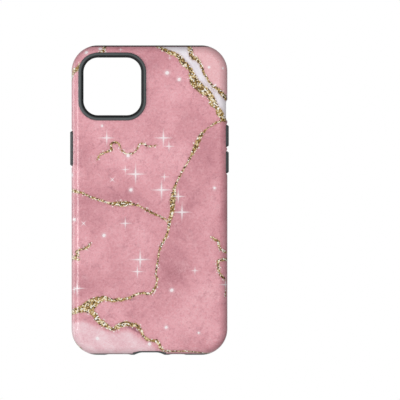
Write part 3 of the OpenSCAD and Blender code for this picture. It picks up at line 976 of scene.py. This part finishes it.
def printed_plastic():
    """Glossy plastic with the printed pattern under a clear coat."""
    p = Paint("printed_plastic")
    place = p.add("Attribute", attribute_name="print").outputs["Vector"]
    colour = watercolour(p, place)
    ragged = p.noise(place, 2.2, 4, 0.65)
    wavy = p.math("SUBTRACT", ragged, 0.5)
    cloudy = p.math("MULTIPLY", p.math("SUBTRACT", p.noise(place, 7, 4, 0.6), 0.5), 5.0)

    stripe, pale_low, pale_top = p.parts("regions")
    pale = p.ramp(
        p.noise(place, 8, 5, 0.65, 0.8),
        ((0.3, srgb(229, 181, 190)), (0.5, srgb(243, 204, 211)), (0.7, srgb(250, 224, 229))),
    )
    colour = p.mix(p.step(p.math("ADD", pale_low, cloudy), -0.5, 3.0, 0.0, 0.9), colour, pale)
    colour = p.mix(p.step(p.math("ADD", pale_top, wavy), -0.4, 0.6, 0.0, 0.65), colour, srgb(246, 198, 201))
    white = p.ramp(
        p.noise(place, 9, 4, 0.6), ((0.3, srgb(228, 220, 228)), (0.65, srgb(246, 240, 245)))
    )
    colour = p.mix(p.step(p.math("ADD", stripe, wavy), -0.3, 0.3), colour, white)
    colour = grain(p, place, colour, 0.42)
    _, fold, _ = p.parts("shades")
    colour = p.mix(p.step(p.math("ADD", fold, wavy), -0.4, 0.7, 0.0, 0.85), colour, srgb(150, 86, 102))

    side, half, plain = p.parts("gold")
    gold, chance = glitter(p, place)
    torn = p.total(p.math("MULTIPLY", p.math("SUBTRACT", chance, 0.5), 0.55), p.math("MULTIPLY", wavy, 0.9))
    depth = p.math("SUBTRACT", p.math("ADD", half, 0.08), p.math("ADD", p.math("ABSOLUTE", side), torn))
    guard = p.step(p.math("SUBTRACT", plain, half), 1.2, 0.9)
    rim = p.math("MULTIPLY", p.step(depth, -1.3, 0.1, 0.0, 0.35), guard)
    colour = p.mix(rim, colour, srgb(176, 118, 112))
    loose = p.math("MULTIPLY", p.step(depth, -0.75, -0.6), p.step(chance, 0.08, 0.06))
    colour = p.mix(p.math("MULTIPLY", loose, p.math("MULTIPLY", guard, 0.8)), colour, srgb(255, 246, 240))
    solid = p.step(p.math("SUBTRACT", plain, half), 0.75, 0.5)
    colour = p.mix(p.math("MULTIPLY", p.step(depth, -0.06, 0.06), solid), colour, gold)

    dot_away = p.parts("dots")[2]
    dot = p.step(dot_away, 1.25, 0.7)
    halo = p.step(dot_away, 2.4, 0.7, 0.0, 0.28)
    shine = p.math("MAXIMUM", p.math("MAXIMUM", dot, halo), star(p, "stars_a"))
    shine = p.math("MAXIMUM", p.math("MAXIMUM", shine, star(p, "stars_b")), star(p, "stars_x"))
    colour = p.mix(p.math("MULTIPLY", shine, 0.95), colour, srgb(252, 244, 246))

    p.put(p.surface.inputs["Base Color"], colour)
    smear = p.noise(place, 16, 5, 0.7, 0.6)
    p.put(p.surface.inputs["Roughness"], p.step(smear, 0.3, 0.75, 0.22, 0.34))
    p.surface.inputs["IOR"].default_value = 1.5
    p.surface.inputs["Coat Weight"].default_value = 0.35
    p.surface.inputs["Coat Roughness"].default_value = 0.15
    peel = p.math("ADD", p.noise(place, 1.8, 2, 0.5), p.math("MULTIPLY", p.noise(place, 0.35, 2, 0.6), 0.12))
    p.bump(peel, 0.000012)
    return p.material


def shell_plastic():
    """The shell's own plastic, seen on its cut edges."""
    p = Paint("shell_plastic")
    place = p.add("TexCoord").outputs["Object"]
    tone = p.ramp(p.noise(place, 0.004, 4, 0.6), ((0.3, srgb(206, 150, 160)), (0.7, srgb(220, 165, 174))))
    p.put(p.surface.inputs["Base Color"], tone)
    p.put(p.surface.inputs["Roughness"], p.step(p.noise(place, 0.0015, 3, 0.6), 0.3, 0.7, 0.32, 0.45))
    p.bump(p.noise(place, 0.0004, 3, 0.6), 0.00002)
    return p.material


def soft_rubber(name, dark, light, painted_inner_shade=False):
    """Matt rubber with a fine moulded grain, faint cloudiness and dust in the grain. With the last argument
    set,
    it also has painted shade: it turns near black towards a ring's inside, standing in for deep shade there."""
    p = Paint(name)
    place = p.add("TexCoord").outputs["Object"]
    cloud = p.noise(place, 0.011, 5, 0.65, 0.5)
    base = p.ramp(cloud, ((0.3, srgb(*dark)), (0.7, srgb(*light))))
    grain = p.noise(place, 0.00028, 3, 0.65)
    dust = p.step(p.math("MULTIPLY", grain, p.noise(place, 0.02, 3, 0.6)), 0.3, 0.45, 0.0, 0.22)
    colour = p.mix(dust, base, srgb(132, 137, 138))
    if painted_inner_shade:
        # Painted shade: towards the ring's inside the colour turns near black, standing in for deep shade.
        colour = p.mix(p.step(p.parts("inward")[0], 1.0, 1.8, 0.0, 0.93), colour, srgb(12, 13, 14))
    p.put(p.surface.inputs["Base Color"], colour)
    p.put(p.surface.inputs["Roughness"], p.step(cloud, 0.25, 0.75, 0.46, 0.62))
    p.surface.inputs["Specular IOR Level"].default_value = 0.45
    height = p.math("ADD", grain, p.math("MULTIPLY", p.noise(place, 0.0012, 3, 0.6), 0.8))
    p.bump(height, 0.00005)
    return p.material


def studio_floor():
    """Pale paint, very faintly cloudy."""
    p = Paint("studio_floor")
    place = p.add("TexCoord").outputs["Object"]
    tone = p.ramp(p.noise(place, 0.4, 4, 0.5), ((0.3, (0.80, 0.80, 0.80, 1)), (0.7, (0.84, 0.84, 0.84, 1))))
    p.put(p.surface.inputs["Base Color"], tone)
    p.surface.inputs["Roughness"].default_value = 0.7
    return p.material


def dress(obj, *materials):
    """Gives a piece these materials and no others."""
    obj.data.materials.clear()
    for material in materials:
        obj.data.materials.append(material)


dress(shell, printed_plastic(), shell_plastic())
lay_print(shell)
liner_rubber = soft_rubber("liner_rubber", (76, 81, 82), (88, 93, 94))
pad_rubber = soft_rubber("pad_rubber", (72, 77, 78), (84, 89, 90))
dress(liner, liner_rubber)
# The collar's rubber carries painted shade, near black towards its opening.
dress(collar, soft_rubber("collar_rubber", (80, 85, 86), (92, 97, 98), painted_inner_shade=True))
for pad in pads.values():
    dress(pad, pad_rubber)

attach(shell, "case")
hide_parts("outer_shell")
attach(liner, "case")
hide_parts("inner_liner")
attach(collar, "case")
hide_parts("camera_collar")
for node, pad in pads.items():
    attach(pad, node.replace("button", "pad"))
    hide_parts(node)

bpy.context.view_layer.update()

# ---- Camera, light and floor ----
# Millimetres across the picture.
VIEW_WIDTH = 215.36
scene = bpy.context.scene
camera = bpy.data.objects.new("camera", bpy.data.cameras.new("camera"))
scene.collection.objects.link(camera)
camera.data.type = "ORTHO"
camera.data.ortho_scale = VIEW_WIDTH * MM
camera.location = (0.0272, -0.6, 0.00006)
camera.rotation_euler = (math.radians(90), 0, 0)
camera.data.dof.use_dof = False
scene.camera = camera


def studio_world():
    """Soft light all round, dimmer on the right and overhead. Seen directly it is plain white."""
    world = bpy.data.worlds.new("studio")
    world.use_nodes = True
    tree = world.node_tree

    def node(kind, **settings):
        made = tree.nodes.new("ShaderNode" + kind)
        for key, value in settings.items():
            setattr(made, key, value)
        return made

    def fade(socket, start, end, low):
        """1 before start, falling to low at end."""
        made = node("MapRange", interpolation_type="SMOOTHSTEP")
        for name, value in (("From Min", start), ("From Max", end), ("To Min", 1.0), ("To Max", low)):
            made.inputs[name].default_value = value
        tree.links.new(socket, made.inputs["Value"])
        return made.outputs["Result"]

    def times(a, b):
        made = node("Math", operation="MULTIPLY")
        tree.links.new(a, made.inputs[0])
        if isinstance(b, float):
            made.inputs[1].default_value = b
        else:
            tree.links.new(b, made.inputs[1])
        return made.outputs[0]

    axes = node("SeparateXYZ")
    tree.links.new(node("TexCoord").outputs["Generated"], axes.inputs[0])
    to_right, upward = fade(axes.outputs[0], 0.1, 0.7, 0.1), fade(axes.outputs[2], 0.0, 0.7, 0.2)
    level = node("Mix", data_type="FLOAT")
    tree.links.new(node("LightPath").outputs["Is Camera Ray"], level.inputs[0])
    tree.links.new(times(times(to_right, upward), 0.62), level.inputs[2])
    level.inputs[3].default_value = 1.0
    background = tree.nodes["Background"]
    background.inputs["Color"].default_value = (1, 1, 1, 1)
    tree.links.new(level.outputs[0], background.inputs["Strength"])
    return world


scene.world = studio_world()


def softbox(name, place, aim, size, power):
    """A rectangular lamp, in metres and watts, unseen by the camera."""
    data = bpy.data.lights.new(name, "AREA")
    data.shape = "RECTANGLE"
    data.size, data.size_y = size
    data.energy = power
    lamp = bpy.data.objects.new(name, data)
    scene.collection.objects.link(lamp)
    lamp.location = place
    lamp.rotation_euler = (Vector(aim) - Vector(place)).to_track_quat("-Z", "Y").to_euler()
    lamp.visible_camera = False
    return lamp


key = softbox("key", (0.46, -1.2, 0.36), (0, 0, 0), (0.6, 0.6), 9.4)
key.visible_glossy = False
strip = softbox("strip", (-0.39, -0.352, -0.012), (-0.0385, 0, -0.012), (0.17, 0.125), 0.52)
rim = softbox("rim", (-0.46, 0.18, 0.0), (-0.04, 0, 0), (0.16, 0.4), 0.42)
fill = softbox("fill", (-1.25, -0.4, 0.1), (0, 0, 0), (0.7, 0.7), 1.8)
fill.visible_glossy = False

floor_mesh = bpy.data.meshes.new("floor")
reach, foot = 3.0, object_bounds()[0].z
corners = [(x * reach, y * reach, foot) for x, y in ((-1, -1), (1, -1), (1, 1), (-1, 1))]
floor_mesh.from_pydata(corners, [], [(0, 1, 2, 3)])
floor = bpy.data.objects.new("floor", floor_mesh)
scene.collection.objects.link(floor)
dress(floor, studio_floor())

# The floor has its own wide soft light overhead, and its light does not reach the object.
floor.visible_diffuse = False
floor.visible_glossy = False
overhead = softbox("overhead", (0, 0, 3), (0, 0.001, 0), (6, 6), 150)
overhead.visible_glossy = False
floor_only = bpy.data.collections.new("floor_only")
floor_only.objects.link(floor)
overhead.light_linking.receiver_collection = floor_only
not_floor = bpy.data.collections.new("not_floor")
not_floor.objects.link(floor)
not_floor.collection_objects[0].light_linking.link_state = "EXCLUDE"
for lamp in (key, strip, rim, fill):
    lamp.light_linking.receiver_collection = not_floor

scene.view_settings.view_transform = "Standard"
